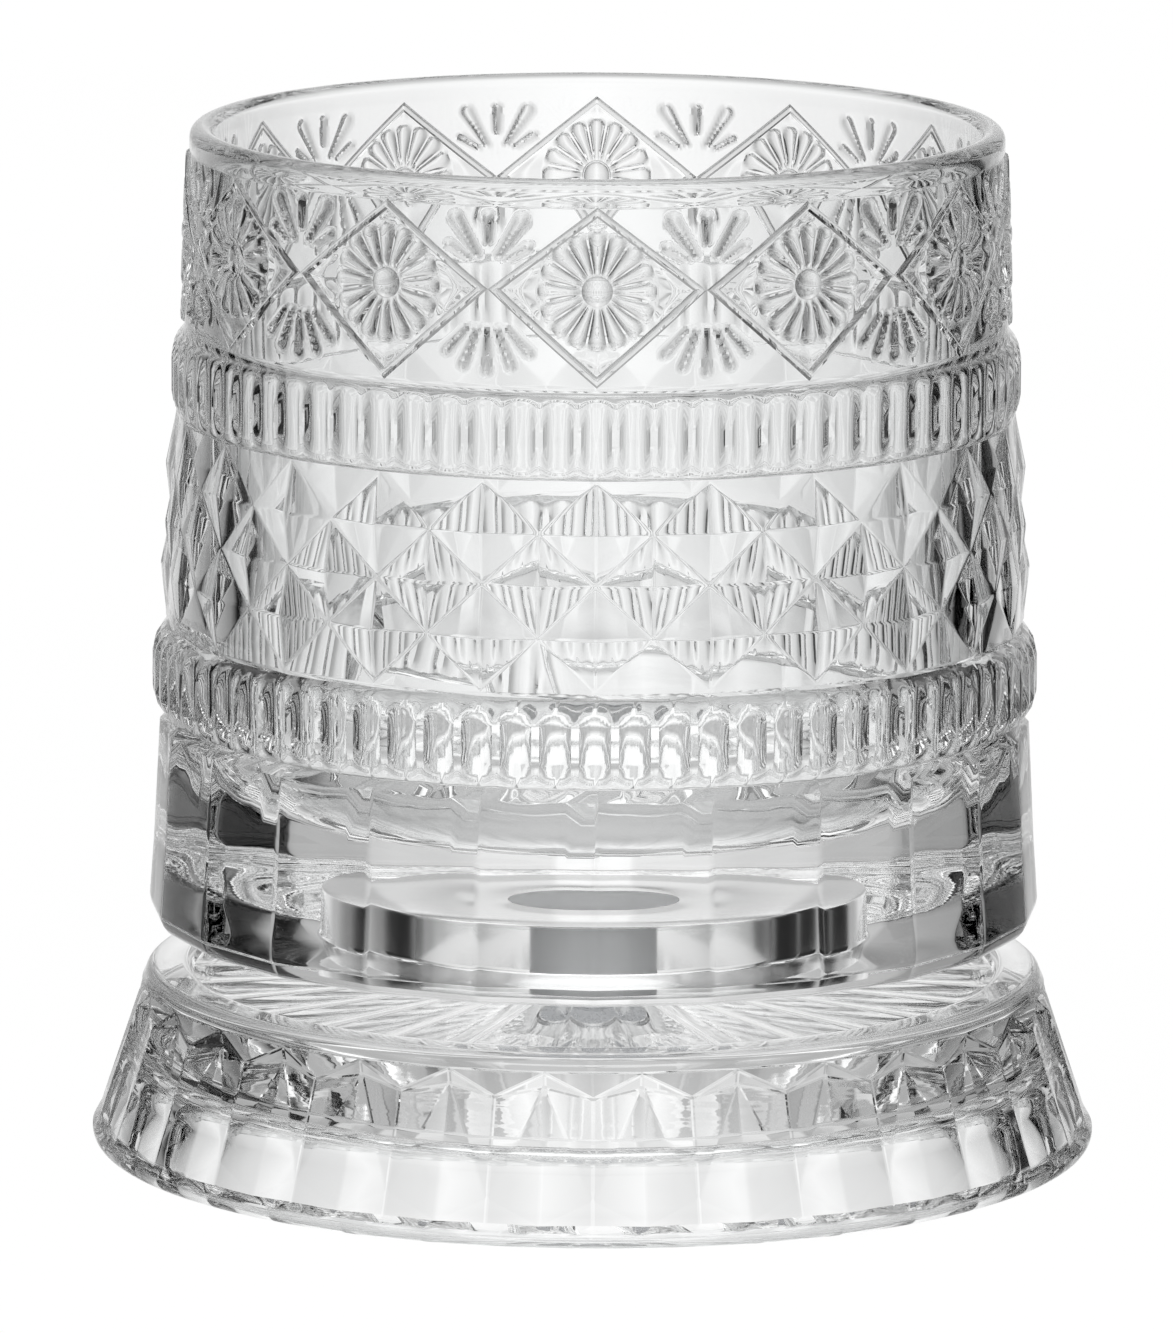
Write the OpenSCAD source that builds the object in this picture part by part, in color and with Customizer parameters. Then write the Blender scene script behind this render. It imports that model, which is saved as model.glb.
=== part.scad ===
// Spinning whiskey tumbler: a pressed-glass tumbler that turns on a ball bearing above its own coaster.
// The origin is the centre of the coaster's foot, +Z is up, and sizes are in millimetres.

/* [Tumbler] */
// Height of the glass from its flat bottom to the lip
tumbler_h = 80.3; // [66:0.1:98]
// Outside diameter at the lip
rim_d = 80.8; // [66:0.1:98]
// Widest outside diameter, near the bottom
base_d = 89; // [74:0.1:108]
// Wall thickness at the lip
lip_t = 2.5; // [2:0.1:4]
// Wall thickness where the bowl turns into its floor
heel_t = 5.6; // [4:0.1:9]
// Glass thickness under the bowl
floor_t = 12.5; // [8:0.1:20]
// Radius of the bowl's rounded heel
heel_r = 11; // [4:0.5:16]
// Rounding of the bottom outside edge
base_edge_r = 2.5; // [1:0.1:4]
// Flat panels round the base
panel_count = 24; // [12:1:36]

/* [Cut bands] */
// Height of the lower reeded collar
lower_collar_h = 9; // [6:0.1:12]
// How far the lower collar stands out from the wall
lower_collar_rise = 1.05; // [0.6:0.05:1.6]
// Height of the upper reeded collar
upper_collar_h = 8.5; // [6:0.1:12]
// How far the upper collar stands out from the wall
upper_collar_rise = 0.6; // [0.4:0.05:1.6]
// Reeds round each collar
reed_count = 72; // [36:4:96]
// Depth of the grooves between reeds
reed_depth = 0.7; // [0.3:0.05:1]
// Height of the band of diamond points between the collars
point_band_h = 21; // [14:0.1:28]
// Diamond points in each of its three rows
point_count = 24; // [12:2:36]
// How far a diamond point stands out from the wall
point_rise = 0.7; // [0.3:0.05:1.2]
// Height of the flower band above the upper collar
flower_band_h = 18; // [12:0.1:24]
// Framed flowers round the glass
flower_count = 12; // [6:1:16]
// Width of the raised line that frames each flower
frame_w = 0.8; // [0.5:0.05:1.4]
// How far frames and flowers stand out from their band
flower_rise = 0.35; // [0.2:0.05:0.6]

/* [Coaster] */
// Height of the coaster at its raised edge
coaster_h = 18.2; // [14:0.1:24]
// Diameter of the coaster's top edge
coaster_top_d = 90.4; // [76:0.1:108]
// Diameter of the coaster's foot
coaster_foot_d = 100.8; // [84:0.1:120]
// Prisms cut round the coaster's side
prism_count = 30; // [16:2:40]
// Depth of the valleys between prisms
prism_depth = 0.75; // [0.3:0.05:1.2]
// Drop from the raised edge to the sunburst field
field_drop = 0.8; // [0.4:0.1:2]
// Width of the raised edge
edge_ring_w = 5; // [3:0.5:8]
// Depth of the hollow under the coaster
hollow_depth = 7.6; // [3:0.1:10]
// Wall left round that hollow
hollow_wall = 7.5; // [5:0.5:12]
// Clear gap between the coaster's raised edge and the tumbler
base_gap = 4.2; // [2:0.1:8]

/* [Spindle] */
// Radial play between the pin and the bearing's bore
pin_play = 0.04; // [0.02:0.01:0.1]
// Diameter of the foot bonded to the coaster
spindle_foot_d = 13; // [9:0.5:18]
// Thickness of that foot
spindle_foot_t = 2; // [1:0.1:3]
// Depth of the seat that centres the foot
seat_depth = 1; // [0.5:0.1:2]
// Radial clearance round the foot, filled by the bond
seat_clearance = 0.3; // [0.1:0.05:0.6]

/* [Bearing] */
// Bearing bore
bearing_bore_d = 4; // [3:0.02:6]
// Bearing outside diameter
bearing_d = 11; // [10:0.1:16]
// Bearing width
bearing_w = 4; // [3:0.1:6]
// Ball diameter
ball_d = 1.6; // [1.2:0.1:2]
// Number of balls
ball_count = 7; // [5:1:9]
// Wall of the housing round the bearing
housing_wall = 1; // [0.6:0.1:2]
// Depth of the well under the tumbler that holds the housing
well_depth = 4.1; // [3:0.1:7]
// Diameter of that well
well_d = 35.6; // [18:0.2:50]

/* [Hidden] */
$fn = 96;
eps = 0.01;
glass = [0.88, 0.94, 0.95, 0.45];
steel = [0.72, 0.73, 0.75];
brass = [0.78, 0.66, 0.38];

// Heights on the axis, from the coaster's foot up
field_z = coaster_h - field_drop;
seat_z = field_z - seat_depth;
foot_top_z = seat_z + spindle_foot_t;
tumbler_z = coaster_h + base_gap;
well_top_z = tumbler_z + well_depth;
housing_roof_t = 1.2;
relief_h = 0.5;
bearing_top_z = well_top_z - housing_roof_t - relief_h;
bearing_z = bearing_top_z - bearing_w;
bearing_mid_z = bearing_z + bearing_w / 2;
pin_top_z = bearing_top_z + relief_h / 2;

// Tumbler radii and the heights of its bands, from its own bottom up
rim_r = rim_d / 2;
base_r = base_d / 2;
lip_band_h = 2.5;
point_margin = 0.8;
flower_z = tumbler_h - lip_band_h - flower_band_h;
upper_collar_z = flower_z - upper_collar_h;
point_z = upper_collar_z - point_band_h;
lower_collar_z = point_z - lower_collar_h;
flower_sink = 0.45;
function wall_r(h) = base_r + (rim_r - base_r) * h / tumbler_h;
function field_r(h) = wall_r(h) - flower_sink * (1 - (h - flower_z) / flower_band_h);

// Points of a round stretch about c, from angle a0 to a1
function arc(c, r, a0, a1, n) = [for (i = [0:n]) let (a = a0 + (a1 - a0) * i / n) c + r * [cos(a), sin(a)]];
// A point at radius r, angle a and height z, where angle 0 faces the front
function polar(r, a, z) = [r * sin(a), -r * cos(a), z];

module ring(outer_d, inner_d, h) {
    difference() {
        cylinder(d = outer_d, h = h);
        translate([0, 0, -1]) cylinder(d = inner_d, h = h + 2);
    }
}

// ---- Coaster ----

prism_step = 360 / prism_count;
prism_top_z = coaster_h - 1.8;
prism_foot_z = 2.3;
bevel_top_h = 2.3;
bevel_foot_h = 2.4;
valley_run = 1.4;
coaster_top_r = coaster_top_d / 2;
coaster_foot_r = coaster_foot_d / 2;
side_foot_r = coaster_foot_r - 0.5;
function side_r(z) = side_foot_r + (coaster_top_r - side_foot_r) * (z - prism_foot_z) / (prism_top_z - prism_foot_z);

// Rings of points: top corners, ridge tops, valley tops, ridge feet, valley feet, then the two centres
prism_points = [
    for (i = [0:prism_count - 1]) polar(side_r(prism_top_z), (i + 0.5) * prism_step, prism_top_z),
    for (i = [0:prism_count - 1]) let (z = prism_top_z - bevel_top_h) polar(side_r(z), i * prism_step, z),
    for (i = [0:prism_count - 1]) let (z = prism_top_z - valley_run)
        polar(side_r(z) - prism_depth, (i + 0.5) * prism_step, z),
    for (i = [0:prism_count - 1]) let (z = prism_foot_z + bevel_foot_h) polar(side_r(z), i * prism_step, z),
    for (i = [0:prism_count - 1]) polar(side_r(prism_foot_z) - prism_depth, (i + 0.5) * prism_step, prism_foot_z),
    [0, 0, prism_top_z],
    [0, 0, prism_foot_z]
];
function at(ring_no, i) = ring_no * prism_count + (i + prism_count) % prism_count;
prism_faces = [
    for (i = [0:prism_count - 1]) each [
        [at(0, i - 1), at(0, i), at(1, i)],
        [at(0, i), at(2, i), at(1, i)],
        [at(0, i), at(1, i + 1), at(2, i)],
        [at(1, i), at(2, i), at(3, i)],
        [at(2, i), at(4, i), at(3, i)],
        [at(2, i), at(1, i + 1), at(3, i + 1)],
        [at(2, i), at(3, i + 1), at(4, i)],
        [at(3, i), at(4, i), at(4, i - 1)],
        [5 * prism_count, at(0, i), at(0, i - 1)],
        [5 * prism_count + 1, at(4, i - 1), at(4, i)]
    ]
];

module coaster_band_profile() {
    top_round = 1.2;
    foot_round = 1.4;
    ledge = 0.06;
    core_r = min(coaster_top_r, side_foot_r) - prism_depth - 1;
    polygon(concat(
        [[0, 0]],
        arc([coaster_foot_r - foot_round, foot_round], foot_round, -90, 30, 6),
        [[side_r(prism_foot_z) - prism_depth / 2, prism_foot_z + 0.3]],
        [[core_r, prism_foot_z + 1]],
        [[core_r, prism_top_z]],
        [[coaster_top_r + ledge, prism_top_z]],
        arc([coaster_top_r - 0.3 - top_round, coaster_h - top_round], top_round, 15, 90, 5),
        arc([coaster_top_r - edge_ring_w + 1, coaster_h - top_round], top_round, 90, 140, 4),
        [[coaster_top_r - edge_ring_w - 0.6, field_z]],
        [[0, field_z]]
    ));
}

// One leaf of the sunburst: a round-bottomed cut that narrows towards the centre
module sunburst_leaf() {
    leaf_r = 7;
    leaf_depth = 0.45;
    leaf_tilt = 1.1;
    inner_reach = 12;
    outer_reach = coaster_top_r - edge_ring_w - 1.2;
    translate([0, -outer_reach, field_z + leaf_r - leaf_depth])
        rotate([-90 + leaf_tilt, 0, 0])
            cylinder(r = leaf_r, h = outer_reach - inner_reach);
}

module coaster() {
    hollow_r = coaster_foot_r - hollow_wall;
    hollow_round = 3;
    color(glass) difference() {
        union() {
            rotate_extrude() coaster_band_profile();
            polyhedron(prism_points, prism_faces, convexity = 4);
        }
        for (i = [0:prism_count - 1]) rotate(i * prism_step) sunburst_leaf();
        translate([0, 0, seat_z]) cylinder(d = spindle_foot_d + 2 * seat_clearance, h = coaster_h);
        rotate_extrude() polygon(concat(
            [[0, -1], [hollow_r + 0.6, -1]],
            arc([hollow_r - hollow_round, hollow_depth - hollow_round], hollow_round, 0, 90, 6),
            [[0, hollow_depth]]
        ));
    }
}

// ---- Spindle and bearing ----

pin_d = bearing_bore_d - 2 * pin_play;
pitch_r = (bearing_bore_d + bearing_d) / 4;
groove_r = ball_d * 0.525;
ball_play = 0.02;
land_rise = 0.35;
inner_land_r = pitch_r - ball_d / 2 + land_rise;
outer_land_r = pitch_r + ball_d / 2 - land_rise;
shield_t = 0.2;
shield_inset = 0.1;
shield_seat_w = 0.25;
shield_fit = 0.03;
shield_gap = 0.2;

module spindle() {
    shoulder_w = 0.475;
    shoulder_d = bearing_bore_d + 2 * shoulder_w;
    pin_chamfer = 0.4;
    color(steel) {
        translate([0, 0, seat_z]) cylinder(d = spindle_foot_d, h = spindle_foot_t);
        translate([0, 0, foot_top_z - eps]) cylinder(d = shoulder_d, h = bearing_z - foot_top_z + eps);
        translate([0, 0, bearing_z - eps]) cylinder(d = pin_d, h = pin_top_z - pin_chamfer - bearing_z + eps);
        translate([0, 0, pin_top_z - pin_chamfer])
            cylinder(d1 = pin_d, d2 = pin_d - 2 * pin_chamfer, h = pin_chamfer);
    }
}

module groove(centre_r) {
    translate([0, 0, bearing_mid_z]) rotate_extrude() translate([centre_r, 0]) circle(r = groove_r, $fn = 48);
}

module bearing_inner_ring() {
    color(steel) difference() {
        translate([0, 0, bearing_z]) ring(2 * inner_land_r, bearing_bore_d, bearing_w);
        groove(pitch_r - ball_d / 2 - ball_play + groove_r);
    }
}

module shield_seat(z) {
    translate([0, 0, z]) cylinder(r = outer_land_r + shield_seat_w, h = shield_t + shield_inset);
}

module bearing_outer_ring() {
    color(steel) difference() {
        translate([0, 0, bearing_z]) ring(bearing_d, 2 * outer_land_r, bearing_w);
        groove(pitch_r + ball_d / 2 + ball_play - groove_r);
        shield_seat(bearing_z - eps);
        shield_seat(bearing_top_z - shield_t - shield_inset + eps);
    }
}

module bearing_shield(z) {
    outer_r = outer_land_r + shield_seat_w - shield_fit;
    inner_r = inner_land_r + shield_gap;
    color(steel) translate([0, 0, z]) ring(2 * outer_r, 2 * inner_r, shield_t);
}

module bearing_lower_shield() {
    bearing_shield(bearing_z + shield_inset - eps);
}

module bearing_upper_shield() {
    bearing_shield(bearing_top_z - shield_inset - shield_t + eps);
}

module bearing_balls() {
    color(steel) for (i = [0:ball_count - 1]) rotate(i * 360 / ball_count)
        translate([pitch_r, 0, bearing_mid_z]) sphere(d = ball_d);
}

module bearing_cage() {
    cage_play = 0.14;
    cage_w = outer_land_r - inner_land_r - 2 * cage_play;
    cage_below = 0.28 * ball_d;
    cage_above = 0.75 * ball_d;
    pocket_play = 0.05;
    color(brass) difference() {
        translate([0, 0, bearing_mid_z - cage_below])
            ring(2 * pitch_r + cage_w, 2 * pitch_r - cage_w, cage_below + cage_above);
        for (i = [0:ball_count - 1]) rotate(i * 360 / ball_count)
            translate([pitch_r, 0, bearing_mid_z]) sphere(d = ball_d + 2 * pocket_play);
    }
}

module bearing_housing() {
    skirt_drop = 0.4;
    housing_fit = 0.02;
    seat_lip = 0.6;
    outer_d = bearing_d + 2 * housing_wall;
    color(steel) difference() {
        translate([0, 0, bearing_z - skirt_drop]) cylinder(d = outer_d, h = well_top_z - bearing_z + skirt_drop);
        translate([0, 0, bearing_z - skirt_drop - 1])
            cylinder(d = bearing_d + 2 * housing_fit, h = bearing_w + skirt_drop + 1);
        translate([0, 0, bearing_top_z - 1]) cylinder(d = bearing_d - 2 * seat_lip, h = relief_h + 1);
    }
}

// ---- Tumbler ----

module tumbler_wall_profile() {
    collar_low = lower_collar_z + 1;
    collar_sink = 0.2;
    low_sink = 0.3;
    high_sink = 0.5;
    polygon(concat(
        [[0, 0]],
        arc([base_r - base_edge_r, base_edge_r], base_edge_r, -90, 0, 6),
        [[wall_r(lower_collar_z), lower_collar_z]],
        [[wall_r(collar_low) - collar_sink, collar_low]],
        [[wall_r(point_z) - low_sink, point_z]],
        [[wall_r(upper_collar_z) - high_sink, upper_collar_z]],
        [[wall_r(flower_z - 1) - high_sink, flower_z - 1]],
        [[field_r(flower_z), flower_z - 0.4]],
        [[rim_r, tumbler_h - lip_band_h]],
        arc([rim_r - lip_t / 2, tumbler_h - lip_t / 2], lip_t / 2, 0, 90, 5),
        [[0, tumbler_h]]
    ));
}

module bowl_profile() {
    inner_rim_r = rim_r - lip_t;
    inner_heel_r = wall_r(floor_t + heel_r) - heel_t;
    polygon(concat(
        [[0, floor_t]],
        arc([inner_heel_r - heel_r, floor_t + heel_r], heel_r, -90, 0, 8),
        arc([rim_r - lip_t / 2, tumbler_h - lip_t / 2], lip_t / 2, 180, 90, 5),
        [[inner_rim_r + lip_t / 2, tumbler_h + 1]],
        [[0, tumbler_h + 1]]
    ));
}

// A closed band whose outline has one flat-sided reed per step
module reed_star(peak_r, h) {
    step = 360 / reed_count;
    linear_extrude(h) polygon([
        for (i = [0:reed_count - 1]) each [
            peak_r * [sin(i * step), -cos(i * step)],
            (peak_r - reed_depth) * [sin((i + 0.5) * step), -cos((i + 0.5) * step)]
        ]
    ]);
}

// A barrel-shaped collar, cut into reeds that run out to points at both ends
module reeded_collar(z0, h, rise) {
    mid_r = wall_r(z0 + h / 2) + rise;
    bulge = rise + 0.35;
    bulge_r = (h * h / 4 + bulge * bulge) / (2 * bulge);
    intersection() {
        translate([0, 0, z0]) reed_star(mid_r, h);
        translate([0, 0, z0 + h / 2]) rotate_extrude() intersection() {
            translate([mid_r - bulge_r, 0]) circle(r = bulge_r, $fn = 180);
            translate([0, -h / 2]) square([mid_r + 1, h]);
        }
    }
}

// Three rows of four-sided points; every second row is turned by half a step
point_step = 360 / point_count;
point_rows = 3;
row_h = (point_band_h - point_margin) / (point_rows + 1);
point_sink = 0.1;
function level_z(j) = point_z + point_margin + j * row_h;
function level_turn(j) = j % 2 == 0 ? 0 : 0.5;
function lattice(j, i) = j * point_count + (i + point_count) % point_count;
function apex(j, i) = (point_rows + 2 + j) * point_count + (i + point_count) % point_count;
last_level = point_rows + 1;
point_vertices = [
    for (j = [0:last_level]) for (i = [0:point_count - 1])
        polar(wall_r(level_z(j)) - point_sink, (i + level_turn(j)) * point_step, level_z(j)),
    for (j = [1:point_rows]) for (i = [0:point_count - 1])
        polar(wall_r(level_z(j)) + point_rise, (i + level_turn(j - 1)) * point_step, level_z(j)),
    [0, 0, level_z(0)],
    [0, 0, level_z(last_level)]
];
function left_of(j, i) = level_turn(j) == 0 ? i : i - 1;
point_faces = [
    for (j = [1:point_rows]) for (i = [0:point_count - 1]) let (
        top = apex(j - 1, i),
        west = lattice(j, left_of(j, i)),
        east = lattice(j, left_of(j, i) + 1),
        south = lattice(j - 1, i),
        north = lattice(j + 1, i)
    ) each [[top, north, west], [top, east, north], [top, south, east], [top, west, south]],
    for (i = [0:point_count - 1]) each [
        [lattice(0, i), lattice(1, i), lattice(0, i + 1)],
        [lattice(last_level, i), lattice(last_level, i + 1), lattice(last_level - 1, left_of(last_level - 1, i) + 1)],
        [(2 * point_rows + 2) * point_count, lattice(0, i), lattice(0, i + 1)],
        [(2 * point_rows + 2) * point_count + 1, lattice(last_level, i + 1), lattice(last_level, i)]
    ]
];

// A flat outline pushed out from the axis at the front and kept only where it meets the flower band
module frame_outline() {
    half_w = wall_r(flower_z + flower_band_h / 2) * sin(180 / flower_count);
    half_h = flower_band_h / 2 - 0.3;
    inner = 1 - frame_w / min(half_w, half_h);
    difference() {
        polygon([[half_w, 0], [0, half_h], [-half_w, 0], [0, -half_h]]);
        scale(inner) polygon([[half_w, 0], [0, half_h], [-half_w, 0], [0, -half_h]]);
    }
}

module flower_frames() {
    root_r = rim_r - lip_t + 0.4;
    reach = 3;
    intersection() {
        for (i = [0:flower_count - 1]) rotate(i * 360 / flower_count)
            translate([0, -rim_r + reach, flower_z + flower_band_h / 2])
                rotate([90, 0, 0]) linear_extrude(2 * reach) frame_outline();
        rotate_extrude() polygon([
            [root_r, flower_z],
            [field_r(flower_z) + flower_rise, flower_z],
            [rim_r + flower_rise, tumbler_h - lip_band_h],
            [root_r, tumbler_h - lip_band_h]
        ]);
    }
}

module flower_buttons() {
    button_r = 1.9;
    for (i = [0:flower_count - 1]) rotate(i * 360 / flower_count)
        translate([0, -field_r(flower_z + flower_band_h / 2) - flower_rise + button_r,
                   flower_z + flower_band_h / 2]) sphere(r = button_r);
}

module base_panels() {
    step = 360 / panel_count;
    top_z = lower_collar_z + 0.6;
    far = 2 * base_r;
    slope = atan((base_r - rim_r) / tumbler_h);
    for (i = [0:panel_count - 1]) rotate((i + 0.5) * step)
        translate([0, -base_r * cos(step / 2), 0]) rotate([-slope, 0, 0])
            translate([-far / 2, -far, -1]) cube([far, far, top_z + 1]);
}

module tumbler() {
    color(glass) translate([0, 0, tumbler_z]) difference() {
        union() {
            difference() {
                rotate_extrude() tumbler_wall_profile();
                base_panels();
            }
            reeded_collar(lower_collar_z, lower_collar_h, lower_collar_rise);
            reeded_collar(upper_collar_z, upper_collar_h, upper_collar_rise);
            polyhedron(point_vertices, point_faces, convexity = 4);
            flower_frames();
            flower_buttons();
        }
        rotate_extrude() bowl_profile();
        translate([0, 0, -1]) cylinder(d = well_d, h = well_depth + 1);
    }
}

coaster();
spindle();
bearing_inner_ring();
bearing_balls();
bearing_cage();
bearing_outer_ring();
bearing_lower_shield();
bearing_upper_shield();
bearing_housing();
tumbler();
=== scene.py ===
"""Looks for the spinning whiskey tumbler: pressed-glass surfaces, steel bearing, studio and camera."""
import math

import bmesh
import bpy
import numpy as np
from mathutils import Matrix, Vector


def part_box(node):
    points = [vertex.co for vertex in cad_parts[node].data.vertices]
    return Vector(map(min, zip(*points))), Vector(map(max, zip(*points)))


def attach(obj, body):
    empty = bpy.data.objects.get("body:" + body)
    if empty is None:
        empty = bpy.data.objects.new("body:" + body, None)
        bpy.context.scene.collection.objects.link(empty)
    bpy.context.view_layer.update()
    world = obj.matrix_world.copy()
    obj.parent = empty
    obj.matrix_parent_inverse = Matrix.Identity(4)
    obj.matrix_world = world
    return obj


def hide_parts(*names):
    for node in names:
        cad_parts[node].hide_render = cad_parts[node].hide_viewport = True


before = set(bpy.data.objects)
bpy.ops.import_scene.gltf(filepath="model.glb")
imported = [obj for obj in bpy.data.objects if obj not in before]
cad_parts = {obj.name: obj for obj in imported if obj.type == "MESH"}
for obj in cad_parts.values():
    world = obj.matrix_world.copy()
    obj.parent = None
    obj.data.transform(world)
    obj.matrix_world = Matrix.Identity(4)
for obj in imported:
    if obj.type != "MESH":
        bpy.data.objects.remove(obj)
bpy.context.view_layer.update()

MM = 0.001
TUMBLER_BOX = [np.array(corner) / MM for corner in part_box("tumbler")]
COASTER_BOX = [np.array(corner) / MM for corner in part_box("coaster")]

# ---- Sizes of the tumbler's glass, in millimetres; heights start at its flat bottom ----
TUMBLER_Z = TUMBLER_BOX[0][2]
TUMBLER_H = TUMBLER_BOX[1][2] - TUMBLER_BOX[0][2]
RIM_R = 40.4
BASE_R = 44.5
LIP_T = 2.5
LIP_BAND_H = 2.5
FLOWER_BAND_H = 18.0
UPPER_COLLAR_H = 8.5
POINT_BAND_H = 21.0
LOWER_COLLAR_H = 9.0
FLOWER_H = TUMBLER_H - LIP_BAND_H - FLOWER_BAND_H
UPPER_COLLAR_LOW = FLOWER_H - UPPER_COLLAR_H
POINT_LOW = UPPER_COLLAR_LOW - POINT_BAND_H
LOWER_COLLAR_LOW = POINT_LOW - LOWER_COLLAR_H
FLOOR_T = 12.5
HEEL_T = 5.6
HEEL_R = 11.0
BASE_EDGE_R = 2.5
WELL_R = 17.8
WELL_DEPTH = 4.1
WELL_SOFT = 0.4
BOND_R = 6.4  # the bearing housing is bonded to the well inside this radius
BOND = 0.02  # so the glass closes over the metal by this much there
# Each collar's rise over the wall, and the depth of its flutes
LOWER_COLLAR_CUT = (1.05, 0.8)
UPPER_COLLAR_CUT = (0.6, 0.55)
FLUTE_SHARE = 0.8  # of the pitch, which leaves the ridges between the flutes
POINT_MARGIN = 0.8
POINT_RISE = 0.7
POINT_SINK = 0.1
POINT_BEVEL = 0.22

PANELS = 24
FLUTES = 72
POINTS = 24
POINT_ROWS = 3
FLOWERS = 12
PETALS = 16
CELL = 36  # mesh steps along one side of a flower's frame
FLUTE_STEPS = 10
COLLAR_ROWS = 12
PLAIN = 192  # mesh steps round a plain ring
CREASE_DEGREES = 38

# A frame's section: distance in from its outside edge, and height above the band
FRAME_PROFILE = ((0.0, 0.0), (0.2, 0.34), (0.4, 0.42), (0.6, 0.34), (0.8, 0.0))
FLOWER_LOW = 0.5  # the lower end, middle and upper end of the frames, above the band's lower end
FLOWER_MIDDLE = 9.85
FLOWER_HIGH = FLOWER_BAND_H - 0.05
FIELD_SINK = 0.2  # how far the field lies under the plain wall at the top, and how much more at the bottom
FIELD_SINK_MORE = 0.3
FLOWER_R = 5.8
FLOWER_CLEAR_R = 6.0
FLOWER_RINGS = (6.0, 5.8, 5.65, 5.4, 5.0, 4.4, 3.6, 2.7, 2.15, 1.75, 1.5, 1.2, 0.6)
PETAL_END_R = 0.95
PETAL_RISE = 0.5
BUTTON_R = 1.5
BUTTON_RISE = 0.6
CORNER_RISE = 0.2
# Each petal of a spray: start, angle from upright, length, half width at its start and at its end
SPRAY_RISE = 0.45
UPPER_SPRAY = (
    ((0.0, 4.6), 0.0, 2.4, 0.3, 0.5),
    ((1.1, 3.3), 33.0, 4.1, 0.28, 0.68),
    ((-1.1, 3.3), -33.0, 4.1, 0.28, 0.68),
    ((2.0, 3.0), 60.0, 2.3, 0.24, 0.38),
    ((-2.0, 3.0), -60.0, 2.3, 0.24, 0.38),
)
LOWER_SPRAY = (
    ((0.0, 3.9), 0.0, 3.9, 0.26, 0.55),
    ((1.0, 3.8), 22.0, 3.8, 0.24, 0.5),
    ((-1.0, 3.8), -22.0, 3.8, 0.24, 0.5),
    ((2.0, 3.7), 43.0, 3.2, 0.22, 0.45),
    ((-2.0, 3.7), -43.0, 3.2, 0.22, 0.45),
)

# ---- Sizes of the coaster, in millimetres; heights start at its foot ----
COASTER_H = COASTER_BOX[1][2]
COASTER_TOP_R = 45.2
COASTER_FOOT_R = 50.4
COASTER_RIM_ROUND = 1.2
COASTER_FIELD_H = COASTER_H - 0.8
HOLLOW_R = COASTER_FOOT_R - 7.5
HOLLOW_H = 7.6
HOLLOW_FILLET = 3.0
HOLLOW_BULGE = 1.5
FOOT_ROUND = 1.5
FOOT_INSET = 0.15
SEAT_R = 6.8
SEAT_H = COASTER_H - 1.8 + BOND
PRISMS = 30
PRISM_TOP = COASTER_H - 1.8
PRISM_FOOT = 2.3
PRISM_DEPTH = 0.75
PRISM_BEVEL = 0.2
SUNBURST_SHARE = 0.12  # depth of a leaf cut, as a share of half its width


def wall_r(height):
    """Outside radius of the tumbler's plain wall at a height."""
    return BASE_R + (RIM_R - BASE_R) * height / TUMBLER_H


def polar(radius, degrees, height):
    """Points on circles about the axis. 0 degrees faces the front, and angles grow towards +X."""
    angle = np.radians(degrees)
    radius, angle, height = np.broadcast_arrays(radius, angle, height)
    return np.stack([radius * np.sin(angle), -radius * np.cos(angle), height], axis=-1)


def smooth_step(edge0, edge1, value):
    """0 before edge0, 1 past edge1 and a soft turn between. Either edge may be the larger."""
    t = np.clip((value - edge0) / (edge1 - edge0), 0.0, 1.0)
    return t * t * (3.0 - 2.0 * t)


def dome(across):
    """Round section: 1 in the middle, where across is 0, and 0 at the edge, where it is 1."""
    return np.sqrt(np.clip(1.0 - across**2, 0.0, 1.0))


def mound(across):
    """A softer section than a dome, with sloping sides."""
    return np.clip(1.0 - (across / 1.3) ** 2, 0.0, 1.0) ** 2


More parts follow.
